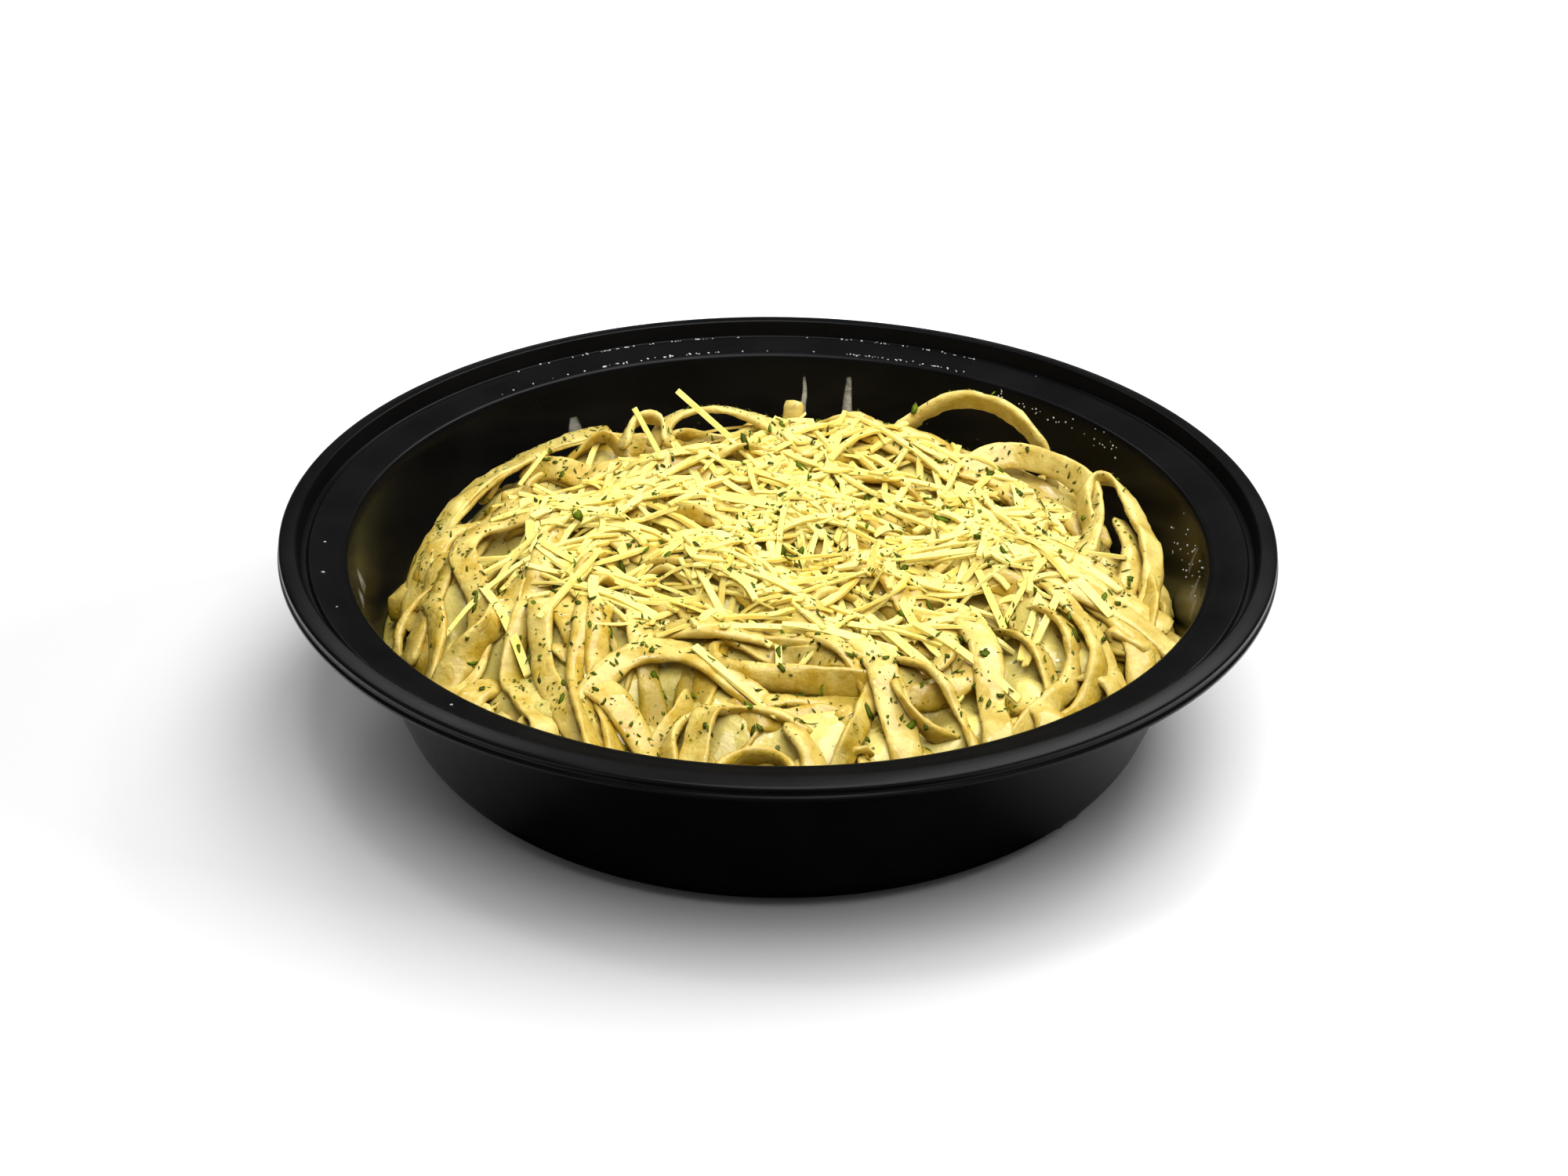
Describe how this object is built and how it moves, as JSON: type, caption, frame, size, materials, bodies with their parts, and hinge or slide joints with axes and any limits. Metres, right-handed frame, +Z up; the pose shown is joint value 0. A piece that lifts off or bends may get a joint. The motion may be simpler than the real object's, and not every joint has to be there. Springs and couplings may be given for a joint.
{
  "type": "fettuccine alfredo in a takeaway bowl",
  "caption": "Round black plastic takeaway bowl, filled with fettuccine in cream sauce under shredded cheese and parsley.",
  "frame": {"origin": "middle of the bowl's underside, on the surface it stands on", "axes": "+Z up along the bowl's axis, +Y away from the side that faces the viewer, +X to the viewer's right"},
  "size_m": [0.229, 0.229, 0.0563],
  "materials": {
    "bowl_plastic": "moulded black plastic, satin outside and shinier inside",
    "cream_sauce": null,
    "coated_noodle": null,
    "cheese": null,
    "parsley": null,
    "water": "beads of condensation and thin smears"
  },
  "bodies": {
    "root": {"bowl": "bowl_plastic", "alfredo_sauce": "cream_sauce", "fettuccine": "coated_noodle", "shredded_cheese": "cheese"}
  },
  "joints": []
}
